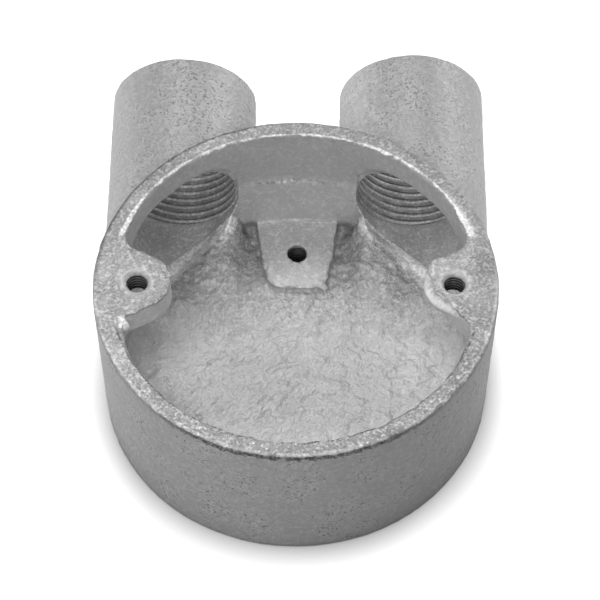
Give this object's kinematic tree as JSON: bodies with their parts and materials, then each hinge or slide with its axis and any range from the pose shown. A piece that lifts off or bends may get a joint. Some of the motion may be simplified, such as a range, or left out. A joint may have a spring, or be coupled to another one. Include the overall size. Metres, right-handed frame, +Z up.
{
  "type": "two-way conduit box",
  "caption": "Round cast-iron conduit box, open at the top, with parallel tapped conduit spouts on one side, lid screw lugs at the rim and a tapped earth pad on the floor.",
  "frame": {"origin": "centre of the flat base, on the axis of the round box", "axes": "+Z up out of the open rim, +Y along the spouts towards their open ends, +X from the left lid lug to the right one"},
  "size_m": [0.065, 0.0813, 0.0295],
  "materials": {
    "galvanised_iron": "hot-dip galvanised rough casting, satin zinc grey"
  },
  "bodies": {
    "root": {"box_casting": "galvanised_iron"}
  },
  "joints": []
}
